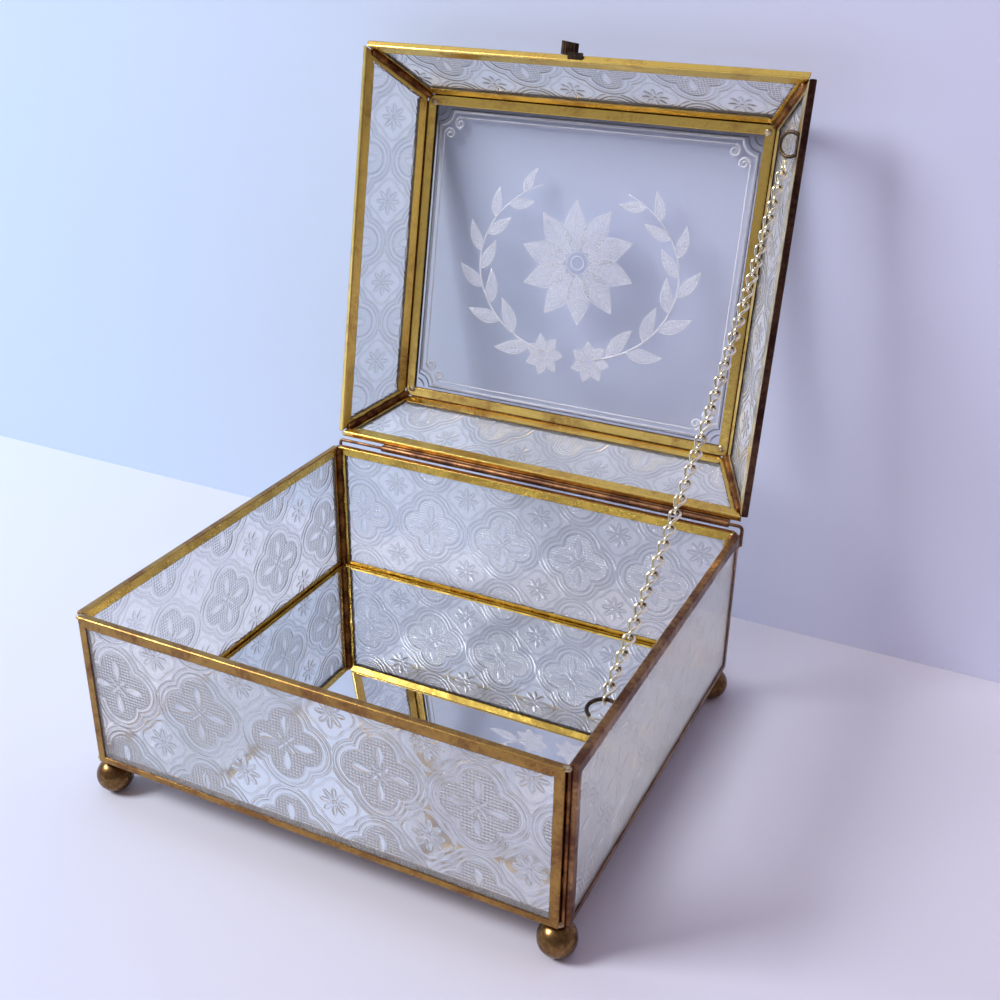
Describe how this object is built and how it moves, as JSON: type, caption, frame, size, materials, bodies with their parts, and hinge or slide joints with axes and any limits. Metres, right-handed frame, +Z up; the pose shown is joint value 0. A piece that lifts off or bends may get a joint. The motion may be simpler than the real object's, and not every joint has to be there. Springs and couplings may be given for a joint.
{
  "type": "casket box",
  "caption": "Glass and brass keepsake casket with a mirror floor, ball feet and a hinged lid that opens until its stay chain is drawn out",
  "frame": {"origin": "under the middle of the open box, on the table the ball feet stand on", "axes": "+X to the right along the front, +Y to the back where the hinge is, +Z up"},
  "size_m": [0.1688, 0.2025, 0.2196],
  "materials": {
    "embossed_glass": "clear, embossed flower pattern on the outer side",
    "clear_glass": "clear, smooth, with an etched border and flower",
    "mirror": "silvered",
    "brass": "aged, lacquered, with brown tarnish",
    "dark_brass": "dark tarnish",
    "chain_brass": "pale, worn bright",
    "solder": "brass-coloured solder"
  },
  "bodies": {
    "base": {"front_glass": "embossed_glass", "back_glass": "embossed_glass", "left_glass": "embossed_glass", "right_glass": "embossed_glass", "front_frame": "brass", "back_frame": "brass", "left_frame": "brass", "right_frame": "brass", "mirror_floor": "mirror", "floor_frame": "brass", "base_solder": "solder", "foot_front_left": "brass", "foot_front_right": "brass", "foot_back_left": "brass", "foot_back_right": "brass", "hinge_pin": "dark_brass", "base_chain_ring": "dark_brass"},
    "lid": {"lid_top_glass": "clear_glass", "lid_front_glass": "embossed_glass", "lid_back_glass": "embossed_glass", "lid_left_glass": "embossed_glass", "lid_right_glass": "embossed_glass", "lid_top_frame": "brass", "lid_front_frame": "brass", "lid_back_frame": "brass", "lid_left_frame": "brass", "lid_right_frame": "brass", "lid_solder": "solder", "hinge_tube": "dark_brass", "thumb_tab": "dark_brass", "lid_chain_ring": "dark_brass"},
    "chain_links_1": {"chain_links_1": "chain_brass"},
    "chain_links_2": {"chain_links_2": "chain_brass"},
    "chain_links_3": {"chain_links_3": "chain_brass"},
    "chain_links_4": {"chain_links_4": "chain_brass"},
    "chain_links_5": {"chain_links_5": "chain_brass"},
    "chain_links_6": {"chain_links_6": "chain_brass"},
    "chain_links_7": {"chain_links_7": "chain_brass"},
    "chain_links_8": {"chain_links_8": "chain_brass"},
    "chain_links_9": {"chain_links_9": "chain_brass"}
  },
  "joints": [
    {"name": "lid_hinge", "type": "hinge", "parent": "base", "child": "lid", "pos_m": [0, 0.05009, 0.0676], "axis": [1, 0, 0], "range_deg": [0, 101]},
    {"name": "chain_swing_1", "type": "hinge", "parent": "base", "child": "chain_links_1", "pos_m": [0.0773, -0.06485, 0.06545], "axis": [0.9995, -0.0301, -0.0092], "range_deg": [-78.52, 1]},
    {"name": "chain_swing_2", "type": "hinge", "parent": "chain_links_1", "child": "chain_links_2", "pos_m": [0.0773, -0.04707, 0.07649], "axis": [0.9915, 0.0093, 0.1296], "range_deg": [-1, 14.48]},
    {"name": "chain_swing_3", "type": "hinge", "parent": "chain_links_2", "child": "chain_links_3", "pos_m": [0.0773, -0.02977, 0.08825], "axis": [0.9979, 0.034, -0.0557], "range_deg": [-1, 17.57]},
    {"name": "chain_swing_4", "type": "hinge", "parent": "chain_links_3", "child": "chain_links_4", "pos_m": [0.0773, -0.01297, 0.10073], "axis": [0.9949, -0.0621, -0.0791], "range_deg": [-1, 49.83]},
    {"name": "chain_swing_5", "type": "hinge", "parent": "chain_links_4", "child": "chain_links_5", "pos_m": [0.0773, 0.00329, 0.1139], "axis": [0.9364, -0.2331, 0.2625], "range_deg": [-1, 70.22]},
    {"name": "chain_swing_6", "type": "hinge", "parent": "chain_links_5", "child": "chain_links_6", "pos_m": [0.0773, 0.01898, 0.12774], "axis": [0.9417, -0.0659, 0.3299], "range_deg": [-1, 34.56]},
    {"name": "chain_swing_7", "type": "hinge", "parent": "chain_links_6", "child": "chain_links_7", "pos_m": [0.0773, 0.03407, 0.14224], "axis": [0.9849, 0.0985, 0.1424], "range_deg": [-1, 19.75]},
    {"name": "chain_swing_8", "type": "hinge", "parent": "chain_links_7", "child": "chain_links_8", "pos_m": [0.0773, 0.04854, 0.15736], "axis": [0.9858, 0.1588, 0.0551], "range_deg": [-1, 30.98]},
    {"name": "chain_swing_9", "type": "hinge", "parent": "chain_links_8", "child": "chain_links_9", "pos_m": [0.0773, 0.06237, 0.17306], "axis": [0.992, 0.0981, -0.08], "range_deg": [-1, 25.72]}
  ],
  "couplings": [
    {"joint": "chain_swing_1", "follows": "lid_hinge", "ratio": -0.77246},
    {"joint": "chain_swing_2", "follows": "lid_hinge", "ratio": 0.13844},
    {"joint": "chain_swing_3", "follows": "lid_hinge", "ratio": 0.16898},
    {"joint": "chain_swing_4", "follows": "lid_hinge", "ratio": 0.48846},
    {"joint": "chain_swing_5", "follows": "lid_hinge", "ratio": 0.69032},
    {"joint": "chain_swing_6", "follows": "lid_hinge", "ratio": 0.33726},
    {"joint": "chain_swing_7", "follows": "lid_hinge", "ratio": 0.19056},
    {"joint": "chain_swing_8", "follows": "lid_hinge", "ratio": 0.30178},
    {"joint": "chain_swing_9", "follows": "lid_hinge", "ratio": 0.24971}
  ]
}
